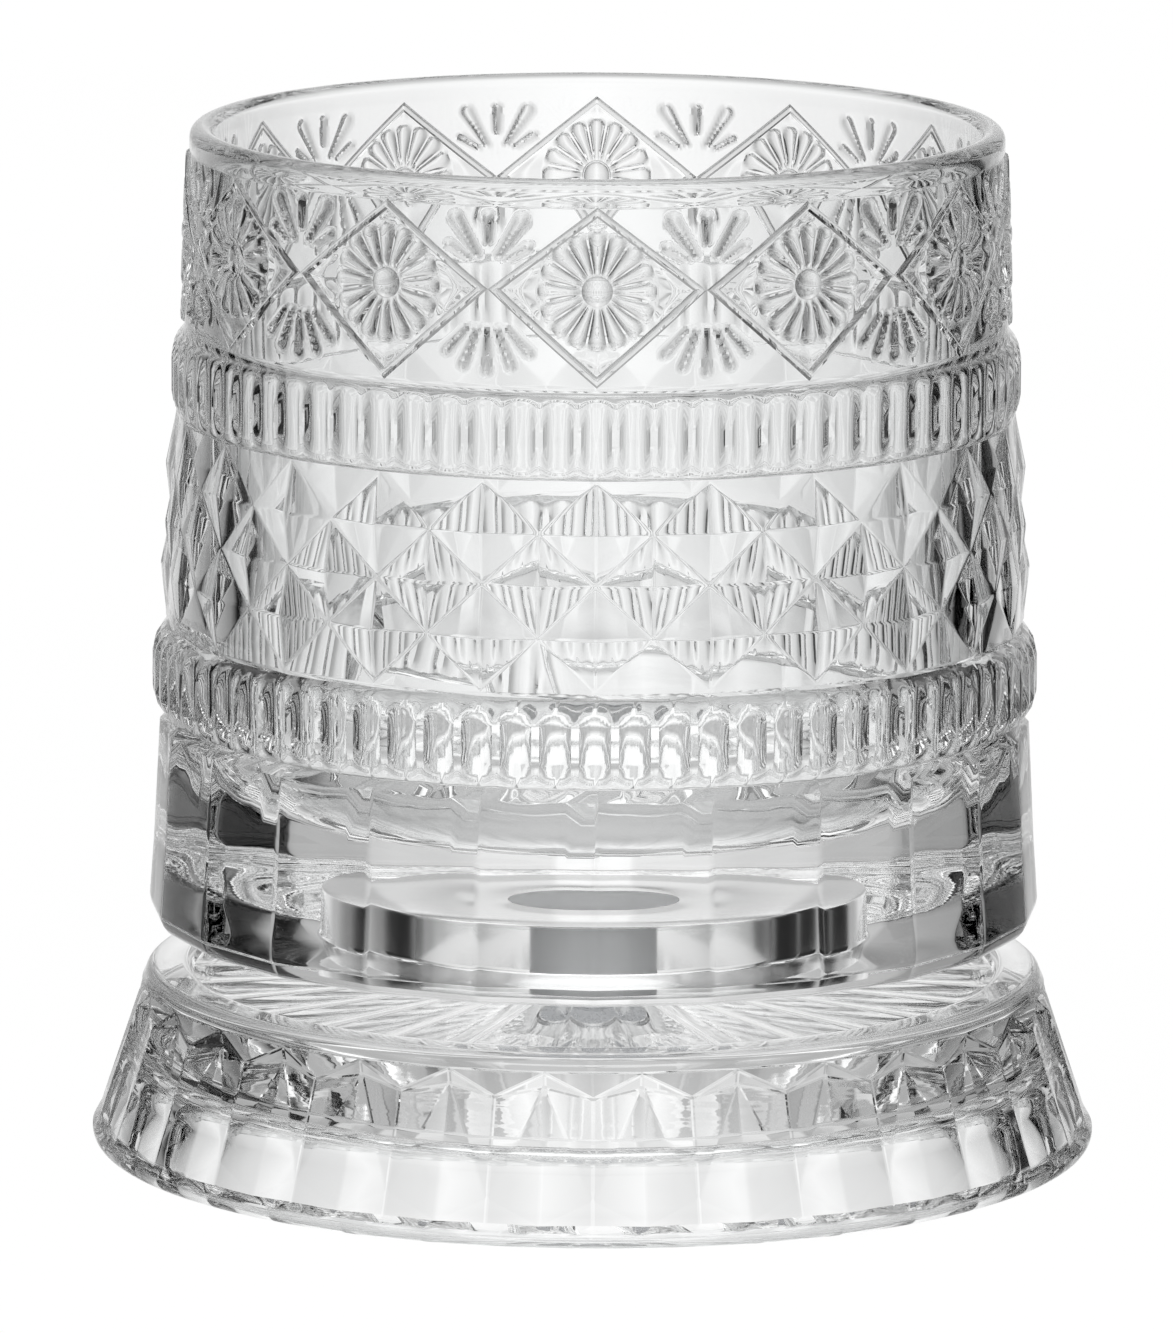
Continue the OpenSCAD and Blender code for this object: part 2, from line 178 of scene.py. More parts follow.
class Skin:
    """A closed surface gathered ring by ring, from the middle of the underside to the middle of the top."""

    def __init__(self):
        self.points = []
        self.count = 0
        self.faces = []
        self.flat = []

    def add(self, points):
        """Takes an array of points and gives back their numbers in the same arrangement."""
        points = np.asarray(points, dtype=float)
        shape = points.shape[:-1]
        flat = points.reshape(-1, 3)
        numbers = np.arange(self.count, self.count + len(flat)).reshape(shape)
        self.points.append(flat)
        self.count += len(flat)
        return numbers

    def polygons(self, faces, flat=False):
        self.faces.extend(faces)
        self.flat.extend([flat] * len(faces))

    def strip(self, low, high, flat=False):
        """Quads between two closed rings with the same number of points."""
        quads = np.stack([low, np.roll(low, -1), np.roll(high, -1), high], axis=1)
        self.polygons(quads.tolist(), flat)

    def rings(self, rows, flat=False):
        """Quads between each ring and the next, for rings of equal length."""
        for low, high in zip(rows[:-1], rows[1:]):
            self.strip(low, high, flat)

    def zipper(self, low, high, flat=False):
        """Triangles between two closed rings of different lengths, each in order of its angle."""
        low, low_turn = self.by_angle(low)
        high, high_turn = self.by_angle(high)
        i = j = 0
        faces = []
        while i < len(low) or j < len(high):
            next_low = low_turn[i + 1] if i < len(low) else math.inf
            next_high = high_turn[j + 1] if j < len(high) else math.inf
            a, b = low[i % len(low)], high[j % len(high)]
            if next_low <= next_high:
                faces.append([a, low[(i + 1) % len(low)], b])
                i += 1
            else:
                faces.append([a, high[(j + 1) % len(high)], b])
                j += 1
        self.polygons(faces, flat)

    def by_angle(self, ring):
        """A ring's numbers in order of their angle, and those angles with one full turn more at the end."""
        everything = np.concatenate(self.points)
        place = everything[np.asarray(ring)]
        turn = np.degrees(np.arctan2(place[:, 0], -place[:, 1]))
        turn = np.where(turn < -1e-4, turn + 360.0, turn)
        order = np.argsort(turn)
        turn = turn[order]
        return [int(ring[k]) for k in order], np.append(turn, turn[0] + 360.0)

    def cap(self, ring, centre, upwards):
        """A fan that closes a ring at its middle. It is the first or the last thing on the surface."""
        middle = int(self.add([centre])[0])
        if not upwards:
            ring = ring[::-1]
        self.polygons([[int(a), int(b), middle] for a, b in zip(ring, np.roll(ring, -1))])

    def patch(self, mesh_patch):
        """Adds a bmesh patch and gives back its lower and upper rims."""
        numbers = self.add([vertex.co[:] for vertex in mesh_patch.verts])
        mesh_patch.verts.index_update()
        self.polygons([[int(numbers[v.index]) for v in face.verts] for face in mesh_patch.faces], flat=True)
        rim = [v for v in mesh_patch.verts if any(edge.is_boundary for edge in v.link_edges)]
        middle = sum(v.co.z for v in rim) / len(rim)
        low = [int(numbers[v.index]) for v in rim if v.co.z < middle]
        high = [int(numbers[v.index]) for v in rim if v.co.z >= middle]
        return low, high

    def build(self, name, lift=0.0):
        """The finished mesh object, in metres, raised by lift millimetres."""
        points = np.concatenate(self.points)
        points[:, 2] += lift
        mesh = bpy.data.meshes.new(name)
        mesh.from_pydata((points * MM).tolist(), [], self.faces)
        mesh.polygons.foreach_set("use_smooth", [not f for f in self.flat])
        mesh.update()
        obj = bpy.data.objects.new(name, mesh)
        bpy.context.scene.collection.objects.link(obj)
        return obj


# ---- Tumbler ----


def even_ring(radius, height, count, start=0.0):
    """A ring of evenly spaced points."""
    return polar(radius, start + np.arange(count) * 360.0 / count, height)


def panel_ring(radius, height):
    """A ring with flat panels, whose edges are slightly softened. radius is taken across the panel edges."""
    half = 180.0 / PANELS
    soft = 0.55
    offsets = np.array([-half + soft, -half / 2, 0.0, half / 2, half - soft, half])
    stretch = np.cos(np.radians(half)) / np.cos(np.radians(offsets))
    stretch[-1] = 0.5 * (1.0 + stretch[-2])
    centres = (np.arange(PANELS) + 0.5) * 2 * half
    degrees = (centres[:, None] + offsets[None, :]).ravel()
    radii = np.tile(radius * stretch, PANELS)
    return polar(radii, degrees, height)


def add_underside(skin):
    """The well for the bearing housing and the flat bottom, out to the base panels' first ring."""
    soft = WELL_SOFT
    bond_h = WELL_DEPTH - BOND
    rows = [skin.add(even_ring(BOND_R * share, bond_h, PLAIN)) for share in (0.3, 1.0)]
    skin.cap(rows[0], [0.0, 0.0, bond_h], upwards=False)
    profile = [
        (BOND_R + 0.05, WELL_DEPTH),
        (WELL_R - soft, WELL_DEPTH),
        (WELL_R - soft * 0.3, WELL_DEPTH - soft * 0.3),
        (WELL_R, WELL_DEPTH - soft),
        (WELL_R, soft),
        (WELL_R + soft * 0.3, soft * 0.3),
        (WELL_R + soft, 0.0),
        (BASE_R - BASE_EDGE_R - 4.0, 0.0),
    ]
    rows += [skin.add(even_ring(radius, height, PLAIN)) for radius, height in profile]
    skin.rings(rows)
    return rows[-1]


def add_base(skin, inner_ring):
    """The rounded bottom edge and the flat panels, up to the lower collar."""
    steps = 6
    rows = []
    for k in range(steps + 1):
        turn = math.pi / 2 * k / steps
        radius = BASE_R - BASE_EDGE_R * (1 - math.sin(turn))
        rows.append(skin.add(panel_ring(radius, BASE_EDGE_R * (1 - math.cos(turn)))))
    panel_top = LOWER_COLLAR_LOW - 1.0
    for height in np.linspace(BASE_EDGE_R, panel_top, 4)[1:]:
        rows.append(skin.add(panel_ring(wall_r(height), height)))
    skin.zipper(inner_ring, rows[0])
    skin.rings(rows[: steps + 1])
    skin.rings(rows[steps:], flat=True)
    return rows[-1]


def collar_radius(height, low, tall, rise):
    """Radius of a collar before its flutes are cut: a barrel with soft shoulders."""
    middle = low + tall / 2
    across = np.abs(height - middle) / (tall / 2)
    return wall_r(middle) + rise - (rise + 0.25) * np.clip(across, 0, 1) ** 5 - 0.55 * rise * across**2


def flute_depth(degrees):
    """Share of the full flute depth at an angle: flat-bottomed flutes with steep sides and narrow ridges."""
    pitch = 360.0 / FLUTES
    across = np.abs((degrees + pitch / 2) % pitch - pitch / 2) / (pitch / 2)
    return np.clip(1.0 - (across / FLUTE_SHARE) ** 4, 0.0, 1.0)


def add_collar(skin, low, tall, rise, depth):
    """A collar cut with flutes that run out to points at both ends. Gives its first and last rings."""
    count = FLUTES * FLUTE_STEPS
    degrees = np.arange(count) * 360.0 / count
    ridge_r = wall_r(low + tall / 2) + rise
    rows = []
    for share in 0.5 - 0.5 * np.cos(np.linspace(0, math.pi, COLLAR_ROWS)):
        height = low + tall * share
        cut = ridge_r - depth * (0.12 + 0.88 * flute_depth(degrees))
        radius = np.minimum(collar_radius(height, low, tall, rise), cut)
        rows.append(skin.add(polar(radius, degrees, height)))
    skin.rings(rows)
    return rows[0], rows[-1]


def point_patch():
    """Three rows of four-sided diamond points with softened edges, as an open patch."""
    step = 360.0 / POINTS
    row_h = (POINT_BAND_H - POINT_MARGIN) / (POINT_ROWS + 1)
    heights = [POINT_LOW + POINT_MARGIN + j * row_h for j in range(POINT_ROWS + 2)]
    patch = bmesh.new()

    def vertex(radius, turn, height):
        return patch.verts.new(polar(radius, turn * step, height))

    lattice = [
        [vertex(wall_r(z) - POINT_SINK, i + (j % 2) / 2, z) for i in range(POINTS)]
        for j, z in enumerate(heights)
    ]
    for j in range(1, POINT_ROWS + 1):
        for i in range(POINTS):
            west = lattice[j][(i - j % 2) % POINTS]
            east = lattice[j][(i + 1 - j % 2) % POINTS]
            south, north = lattice[j - 1][i], lattice[j + 1][i]
            top = vertex(wall_r(heights[j]) + POINT_RISE, i + ((j - 1) % 2) / 2, heights[j])
            for a, b in ((north, west), (east, north), (south, east), (west, south)):
                patch.faces.new((top, a, b))
    last = POINT_ROWS + 1
    for i in range(POINTS):
        after = (i + 1) % POINTS
        patch.faces.new((lattice[0][i], lattice[0][after], lattice[1][i]))
        patch.faces.new((lattice[last][i], lattice[last - 1][i], lattice[last][after]))
    patch.normal_update()
    inner_edges = [edge for edge in patch.edges if not edge.is_boundary]
    bmesh.ops.bevel(patch, geom=inner_edges, offset=POINT_BEVEL, segments=2, profile=0.5, affect="EDGES")
    return patch


def drop(x, y, start, aim, length, start_w, end_w):
    """Height share of a drop-shaped petal. It starts at a point, aims at an angle from upright and widens."""
    along_x, along_y = math.sin(math.radians(aim)), math.cos(math.radians(aim))
    dx, dy = x - start[0], y - start[1]
    along = (dx * along_x + dy * along_y) / length
    aside = dx * along_y - dy * along_x
    half_w = start_w + (end_w - start_w) * np.clip(along, 0.0, 1.0) ** 1.3
    beyond = np.maximum(np.abs(along - 0.5) - 0.5, 0.0) * length
    return mound(np.hypot(aside, beyond) / half_w)


def fan_relief(x, y, upward):
    """Relief of a spray. y counts away from the place where two frames meet, towards the band's edge."""
    petals = UPPER_SPRAY if upward else LOWER_SPRAY
    return SPRAY_RISE * np.max([drop(x, y, *petal) for petal in petals], axis=0)


def flower_relief(x, y):
    """Relief of the flower inside its frame: a domed button and round-ended petals with gaps between."""
    radius = np.hypot(x, y)
    pitch = 360.0 / PETALS
    off = np.abs((np.degrees(np.arctan2(x, y)) + pitch / 2) % pitch - pitch / 2)
    aside = radius * np.sin(np.radians(off))
    half_w = np.minimum(radius * math.sin(math.radians(pitch / 2)) * 0.86, PETAL_END_R)
    beyond = np.maximum(radius - (FLOWER_R - PETAL_END_R), 0.0)
    inside = smooth_step(BUTTON_R + 0.1, BUTTON_R + 0.8, radius)
    petal = PETAL_RISE * dome(np.hypot(aside, beyond) / np.maximum(half_w, 1e-3)) * inside
    return np.maximum(petal, BUTTON_RISE * dome(radius / BUTTON_R))


def corner_relief(x, y, inset):
    """Raised triangles in the corners round a flower. inset is the distance from the frame."""
    clear = smooth_step(FLOWER_CLEAR_R + 0.35, FLOWER_CLEAR_R + 0.8, np.hypot(x, y))
    return CORNER_RISE * clear * smooth_step(0.1, 0.4, inset)


def add_flower_band(skin):
    """Framed flowers with sprays of petals between them. Gives the band's first and last rings."""
    low, middle, high = FLOWER_H + FLOWER_LOW, FLOWER_H + FLOWER_MIDDLE, FLOWER_H + FLOWER_HIGH
    half_up, half_down = high - middle, middle - low
    half_turn = 180.0 / FLOWERS
    half_w = wall_r(middle) * math.radians(half_turn)

    def place(x, y, relief, centre):
        """Points x across and y up from a cell's centre, in millimetres."""
        height = middle + y
        sink = FIELD_SINK + FIELD_SINK_MORE * (high - height) / (high - low)
        return polar(wall_r(height) - sink + relief, centre + x / half_w * half_turn, height)

    # One framed flower, as rings of points from the frame's outside to the button
    side = np.arange(CELL) / CELL
    edge_x = half_w * np.concatenate([side, 1 - side, -side, side - 1])
    edge_y = np.concatenate([1 - side, -side, side - 1, side])
    edge_y = edge_y * np.where(edge_y > 0, half_up, half_down)
    turn = np.arange(4 * CELL) * math.pi / 2 / CELL
    round_x, round_y = np.sin(turn), np.cos(turn)
    apothem = half_w * half_up / math.hypot(half_w, half_up)
    shapes = [(edge_x * (1 - d / apothem), edge_y * (1 - d / apothem), lift) for d, lift in FRAME_PROFILE]
    last = 1 - FRAME_PROFILE[-1][0] / apothem
    for share in (0.06, 0.3, 0.65):
        x = (1 - share) * edge_x * last + share * round_x * FLOWER_CLEAR_R
        y = (1 - share) * edge_y * last + share * round_y * FLOWER_CLEAR_R
        inset = (1 - np.abs(x) / half_w - np.abs(y) / np.where(y > 0, half_up, half_down)) * apothem
        shapes.append((x, y, corner_relief(x, y, inset - FRAME_PROFILE[-1][0])))
    for radius in FLOWER_RINGS:
        x, y = round_x * radius, round_y * radius
        shapes.append((x, y, flower_relief(x, y)))

    edges = []
    for k in range(FLOWERS):
        centre = k * 2 * half_turn
        rows = [skin.add(place(x, y, lift, centre)) for x, y, lift in shapes]
        for outer, inner in zip(rows[:-1], rows[1:]):
            skin.strip(inner, outer)
        button = int(skin.add([place(0.0, 0.0, flower_relief(0.0, 0.0), centre)])[0])
        ring = rows[-1]
        skin.polygons([[int(b), int(a), button] for a, b in zip(ring, np.roll(ring, -1))])
        edges.append(rows[0])

    # The sprays: triangles of points that share their slanting sides with the frames.
    # The two copies of each meeting point of neighbouring frames are joined when the mesh is welded.
    first_ring, last_ring = [], []
    for k in range(FLOWERS):
        centre = (2 * k + 1) * half_turn
        left, right = edges[k], edges[(k + 1) % FLOWERS]
        for upward in (True, False):
            sign = 1 if upward else -1
            reach = half_up if upward else half_down
            previous = [int(left[CELL])]
            for j in range(1, CELL + 1):
                west = int(left[(CELL - sign * j) % (4 * CELL)])
                east = int(right[(3 * CELL + sign * j) % (4 * CELL)])
                x = half_w * np.linspace(-j, j, 2 * j + 1)[1:-1] / CELL
                y = np.full(len(x), reach * j / CELL)
                fade = smooth_step(0.0, 0.5, (j / CELL - np.abs(x) / half_w) * apothem)
                relief = fan_relief(x, y, upward) * fade if len(x) else x
                inner = skin.add(place(x, sign * y, relief, centre)).tolist() if len(x) else []
                row = [west] + inner + [east]
                faces = [[previous[0], row[1], row[0]], [previous[-1], row[-1], row[-2]]]
                for m in range(len(previous) - 1):
                    faces.append([previous[m], previous[m + 1], row[m + 2], row[m + 1]])
                skin.polygons(faces if upward else [face[::-1] for face in faces])
                previous = row
            (last_ring if upward else first_ring).extend(previous[:-1])
    return first_ring, last_ring


def add_lip_and_bowl(skin):
    """The plain lip band, the rounded lip and the smooth bowl, down to its middle."""
    centre_r, centre_h, half_t = RIM_R - LIP_T / 2, TUMBLER_H - LIP_T / 2, LIP_T / 2
    rows = [even_ring(RIM_R, TUMBLER_H - LIP_BAND_H + 0.2, PLAIN)]
    for k in range(13):
        turn = math.pi * k / 12
        rows.append(even_ring(centre_r + half_t * math.cos(turn), centre_h + half_t * math.sin(turn), PLAIN))
    inner_r = RIM_R - LIP_T
    heel_r = wall_r(FLOOR_T + HEEL_R) - HEEL_T
    heel_h = FLOOR_T + HEEL_R
    for share in np.linspace(0, 1, 9)[1:]:
        height = centre_h + (heel_h - centre_h) * share
        rows.append(even_ring(inner_r + (heel_r - inner_r) * share, height, PLAIN))
    for k in range(1, 11):
        turn = math.pi / 2 * k / 10
        radius = heel_r - HEEL_R * (1 - math.cos(turn))
        rows.append(even_ring(radius, heel_h - HEEL_R * math.sin(turn), PLAIN))
    for share in (0.66, 0.33, 0.08):
        rows.append(even_ring((heel_r - HEEL_R) * share, FLOOR_T, PLAIN))
    numbers = [skin.add(row) for row in rows]
    skin.rings(numbers)
    skin.cap(numbers[-1], [0.0, 0.0, FLOOR_T], upwards=True)
    return numbers[0]


def weld(obj, crisp, reach=2e-6):
    """Joins points that lie on each other. crisp keeps the flat faces of the patches quite flat."""
    mesh = bmesh.new()
    mesh.from_mesh(obj.data)
    bmesh.ops.remove_doubles(mesh, verts=mesh.verts, dist=reach)
    bmesh.ops.dissolve_degenerate(mesh, dist=reach / 4, edges=mesh.edges)
    open_edges = sum(1 for edge in mesh.edges if not edge.is_manifold)
    volume = mesh.calc_volume(signed=True)
    mesh.to_mesh(obj.data)
    mesh.free()
    print(f"{obj.name}: {len(obj.data.polygons)} faces, {open_edges} open edges, {volume * 1e6:.1f} cm3")
    smooth = [face.use_smooth for face in obj.data.polygons]
    obj.data.set_sharp_from_angle(angle=math.radians(CREASE_DEGREES))
    if crisp:
        obj.data.polygons.foreach_set("use_smooth", smooth)


def make_tumbler(material, well_material):
    """The tumbler's glass: one closed surface in place of the plain CAD solid. The well is less polished."""
    skin = Skin()
    bottom = add_underside(skin)
    panels = add_base(skin, bottom)
    lower_first, lower_last = add_collar(skin, LOWER_COLLAR_LOW, LOWER_COLLAR_H, *LOWER_COLLAR_CUT)
    points_low, points_high = skin.patch(point_patch())
    upper_first, upper_last = add_collar(skin, UPPER_COLLAR_LOW, UPPER_COLLAR_H, *UPPER_COLLAR_CUT)
    flowers_first, flowers_last = add_flower_band(skin)
    lip_first = add_lip_and_bowl(skin)
    skin.zipper(panels, lower_first)
    skin.zipper(lower_last, points_low)
    skin.zipper(points_high, upper_first)
    skin.zipper(upper_last, flowers_first)
    skin.zipper(flowers_last, lip_first)
    tumbler = skin.build("tumbler_glass", lift=TUMBLER_Z)
    weld(tumbler, crisp=False)
    tumbler.data.materials.append(material)
    tumbler.data.materials.append(well_material)
    for face in tumbler.data.polygons:
        x, y, z = face.center / MM
        if z - TUMBLER_Z < WELL_DEPTH + 0.1 and math.hypot(x, y) < WELL_R + 0.05:
            face.material_index = 1
    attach(tumbler, "tumbler_assembly")
    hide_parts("tumbler")
    return tumbler


# ---- Coaster ----


def side_r(height):
    """Radius of the coaster's flared side at a height."""
    foot_r = COASTER_FOOT_R - 0.5
    return foot_r + (COASTER_TOP_R - foot_r) * (height - PRISM_FOOT) / (PRISM_TOP - PRISM_FOOT)


def prism_patch():
    """The side's prisms as an open patch: ridges with triangles cut off their ends, and valleys between."""
    step = 360.0 / PRISMS
    patch = bmesh.new()

    def ring(height, offset, sink=0.0):
        radius = side_r(height) - sink
        return [patch.verts.new(polar(radius, (i + offset) * step, height)) for i in range(PRISMS)]

    corner = ring(PRISM_TOP, 0.5)
    ridge_top = ring(PRISM_TOP - 2.3, 0.0)
    valley_top = ring(PRISM_TOP - 1.4, 0.5, PRISM_DEPTH)
    ridge_foot = ring(PRISM_FOOT + 2.4, 0.0)
    valley_foot = ring(PRISM_FOOT, 0.5, PRISM_DEPTH / 2)
    tent_foot = ring(PRISM_FOOT + 0.2, 0.0)
    for i in range(PRISMS):
        before, after = i - 1, (i + 1) % PRISMS
        patch.faces.new((corner[i], corner[before], ridge_top[i]))
        patch.faces.new((corner[i], ridge_top[i], valley_top[i]))
        patch.faces.new((corner[i], valley_top[i], ridge_top[after]))
        patch.faces.new((valley_top[i], ridge_top[i], ridge_foot[i]))
        patch.faces.new((valley_top[i], ridge_foot[i], valley_foot[i]))
        patch.faces.new((valley_top[i], valley_foot[i], ridge_foot[after]))
        patch.faces.new((valley_top[i], ridge_foot[after], ridge_top[after]))
        patch.faces.new((ridge_foot[i], valley_foot[before], tent_foot[i]))
        patch.faces.new((ridge_foot[i], tent_foot[i], valley_foot[i]))
    patch.normal_update()
    creases = [e for e in patch.edges if not e.is_boundary and e.calc_face_angle(0.0) > math.radians(2)]
    bmesh.ops.bevel(patch, geom=creases, offset=PRISM_BEVEL, segments=2, profile=0.5, affect="EDGES")
    return patch


def add_coaster_foot(skin):
    """The hollow underneath, whose ceiling bulges down, the foot ring and its rounded outside edge."""
    shares = (0.05, 0.2, 0.35, 0.5, 0.6, 0.7, 0.8, 0.9)
    rows = [even_ring(HOLLOW_R * share, HOLLOW_H - HOLLOW_BULGE * (1 - share**2), PLAIN) for share in shares]
    for k in range(7):
        turn = math.pi / 2 * (1 - k / 6)
        radius = HOLLOW_R - HOLLOW_FILLET + HOLLOW_FILLET * math.cos(turn)
        rows.append(even_ring(radius, HOLLOW_H - HOLLOW_FILLET + HOLLOW_FILLET * math.sin(turn), PLAIN))
    rows += [even_ring(HOLLOW_R + 0.55, 0.35, PLAIN), even_ring(HOLLOW_R + 0.9, 0.0, PLAIN)]
    for k in range(8):
        turn = math.radians(-90 + 100 * k / 7)
        radius = COASTER_FOOT_R - FOOT_INSET - FOOT_ROUND + FOOT_ROUND * math.cos(turn)
        rows.append(even_ring(radius, FOOT_ROUND + FOOT_ROUND * math.sin(turn), PLAIN))
    numbers = [skin.add(row) for row in rows]
    skin.cap(numbers[0], [0.0, 0.0, HOLLOW_H - HOLLOW_BULGE], upwards=False)
    skin.rings(numbers)
    return numbers[-1]


def sunburst_relief(radius, degrees):
    """Depth of the long leaf-shaped cuts in the coaster's top, which meet at sharp ridges."""
    pitch = 360.0 / PRISMS
    off = np.abs((degrees + pitch / 2) % pitch - pitch / 2) / (pitch / 2)
    half_w = radius * math.radians(pitch / 2)
    ends = smooth_step(11.5, 15.0, radius) * smooth_step(40.6, 38.6, radius)
    return -SUNBURST_SHARE * half_w * (1.0 - off**2) * ends


def add_coaster_top(skin):
    """The raised rounded edge, the sunburst and the seat for the spindle's foot."""
    count = 20 * PRISMS
    degrees = np.arange(count) * 360.0 / count
    outer = COASTER_TOP_R - 0.3 - COASTER_RIM_ROUND
    inner = COASTER_TOP_R - 4.0

    def rim_ring(centre_r, degrees_up):
        turn = math.radians(degrees_up)
        height = COASTER_H - COASTER_RIM_ROUND + COASTER_RIM_ROUND * math.sin(turn)
        return even_ring(centre_r + COASTER_RIM_ROUND * math.cos(turn), height, count)

    rows = [even_ring(COASTER_TOP_R + 0.03, PRISM_TOP + 0.05, count)]
    rows += [rim_ring(outer, 10 + 16 * k) for k in range(6)]
    rows += [rim_ring(inner, 90 + 12.5 * k) for k in range(5)]
    edge_r = inner - COASTER_RIM_ROUND
    for radius in np.concatenate([[edge_r], np.linspace(edge_r - 0.6, 12.0, 34)]):
        height = COASTER_FIELD_H + sunburst_relief(np.full(count, radius), degrees)
        rows.append(polar(radius, degrees, height))
    numbers = [skin.add(row) for row in rows]
    skin.rings(numbers)
    seat_profile = [
        (9.0, COASTER_FIELD_H),
        (SEAT_R + 0.2, COASTER_FIELD_H),
        (SEAT_R, COASTER_FIELD_H - 0.2),
        (SEAT_R, SEAT_H),
        (3.0, SEAT_H),
    ]
    seat = [skin.add(even_ring(radius, height, PLAIN)) for radius, height in seat_profile]
    skin.zipper(numbers[-1], seat[0])
    skin.rings(seat)
    skin.cap(seat[-1], [0.0, 0.0, SEAT_H], upwards=True)
    return numbers[0]


def make_coaster(material):
    """The coaster's glass: one closed surface in place of the plain CAD solid."""
    skin = Skin()
    foot = add_coaster_foot(skin)
    prisms_low, prisms_high = skin.patch(prism_patch())
    top = add_coaster_top(skin)
    skin.zipper(foot, prisms_low)
    skin.zipper(prisms_high, top)
    coaster = skin.build("coaster_glass")
    weld(coaster, crisp=True)
    coaster.data.materials.append(material)
    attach(coaster, "coaster_assembly")
    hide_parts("coaster")
    return coaster


# ---- Materials ----


def new_material(name):
    """An empty node material with its Principled shader."""
    material = bpy.data.materials.new(name)
    material.use_nodes = True
    return material, material.node_tree, material.node_tree.nodes["Principled BSDF"]


def noise(tree, scale, detail):
    """A noise texture in object space, whose scale is given in features per metre."""
    place = tree.nodes.new("ShaderNodeTexCoord")
    texture = tree.nodes.new("ShaderNodeTexNoise")
    texture.inputs["Scale"].default_value = scale
    texture.inputs["Detail"].default_value = detail
    tree.links.new(place.outputs["Object"], texture.inputs["Vector"])
    return texture


def glass_material(name, ripple, dullest=0.02):
    """Clear pressed glass: polished, with the faint ripple and dull patches that a mould leaves."""
    material, tree, shader = new_material(name)
    shader.inputs["Base Color"].default_value = (0.985, 0.99, 0.99, 1)
    shader.inputs["Transmission Weight"].default_value = 1.0
    shader.inputs["IOR"].default_value = 1.52
    patches = noise(tree, 90, 3)
    dull = tree.nodes.new("ShaderNodeMapRange")
    dull.inputs["To Min"].default_value = 0.0
    dull.inputs["To Max"].default_value = dullest
    tree.links.new(patches.outputs["Fac"], dull.inputs["Value"])
    tree.links.new(dull.outputs["Result"], shader.inputs["Roughness"])
    waves = noise(tree, 160, 2)
    bump = tree.nodes.new("ShaderNodeBump")
    bump.inputs["Strength"].default_value = ripple
    bump.inputs["Distance"].default_value = 0.0002
    tree.links.new(waves.outputs["Fac"], bump.inputs["Height"])
    tree.links.new(bump.outputs["Normal"], shader.inputs["Normal"])
    return material


def metal_material(name, colour, roughness, grain, metallic=1.0):
    """Turned or ground metal: a fine noise grain varies its roughness and surface."""
    material, tree, shader = new_material(name)
    shader.inputs["Base Color"].default_value = (*colour, 1)
    shader.inputs["Metallic"].default_value = metallic
    texture = noise(tree, grain, 4)
    spread = tree.nodes.new("ShaderNodeMapRange")
    spread.inputs["To Min"].default_value = roughness * 0.7
    spread.inputs["To Max"].default_value = roughness * 1.4
    tree.links.new(texture.outputs["Fac"], spread.inputs["Value"])
    tree.links.new(spread.outputs["Result"], shader.inputs["Roughness"])
    bump = tree.nodes.new("ShaderNodeBump")
    bump.inputs["Strength"].default_value = 0.15
    bump.inputs["Distance"].default_value = 0.0001
    tree.links.new(texture.outputs["Fac"], bump.inputs["Height"])
    tree.links.new(bump.outputs["Normal"], shader.inputs["Normal"])
    return material


def dress_bearing():
    """Metals for the CAD parts of the spindle and bearing."""
    steel = metal_material("turned_steel", (0.66, 0.67, 0.69), 0.25, 900)
    satin = metal_material("satin_steel", (0.86, 0.87, 0.88), 0.5, 900, metallic=0.5)
    ground = metal_material("bearing_steel", (0.7, 0.71, 0.73), 0.14, 1500)
    balls = metal_material("ball_chrome", (0.8, 0.81, 0.83), 0.05, 600)
    brass = metal_material("cage_brass", (0.72, 0.56, 0.28), 0.25, 1200)
    sheet = metal_material("shield_steel", (0.55, 0.56, 0.58), 0.3, 1100)
    wanted = {
        "spindle": steel,
        "bearing_housing": satin,
        "bearing_inner_ring": ground,
        "bearing_outer_ring": ground,
        "bearing_balls": balls,
        "bearing_cage": brass,
        "bearing_lower_shield": sheet,
        "bearing_upper_shield": sheet,
    }
    for name, material in wanted.items():
        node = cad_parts[name]
        node.data.materials.clear()
        node.data.materials.append(material)


# ---- Studio ----

# Light from the sides by its direction: degrees from straight behind the glass, and brightness
SIDE_LIGHT = (
    (-180, 1.0),
    (-150, 0.7),
    (-125, 0.15),
    (-100, 0.25),
    (-84, 0.25),
    (-76, 0.0),
    (-50, 0.0),
    (-45, 0.25),
    (-32, 0.4),
    (-22, 0.55),
    (-12, 0.75),
    (-4, 0.85),
    (0, 1.02),
    (4, 0.85),
    (12, 0.75),
    (22, 0.5),
    (31, 0.4),
    (34, 0.0),
    (50, 0.0),
    (53, 0.25),
    (56, 0.0),
    (77, 0.0),
    (84, 0.25),
    (100, 0.25),
    (125, 0.15),
    (150, 0.7),
    (180, 1.0),
)
# How far that light reaches, and the light above and below it, by the sine of the elevation
SIDE_SHARE = ((-0.8, 0.0), (-0.5, 1.0), (0.33, 1.0), (0.5, 0.0))
UPPER_LIGHT = (
    (-1.0, 0.5),
    (-0.45, 0.4),
    (-0.3, 0.7),
    (0.1, 0.95),
    (0.3, 0.2),
    (0.5, 0.2),
    (0.62, 0.8),
    (0.9, 1.3),
)


# The camera: its place in metres, and how far it looks down and leans, in degrees
CAMERA_PLACE = (-0.00183, -1.1176, 0.255)
CAMERA_DOWN = 10.49
CAMERA_ROLL = 0.28
LENS_MM = 307.3


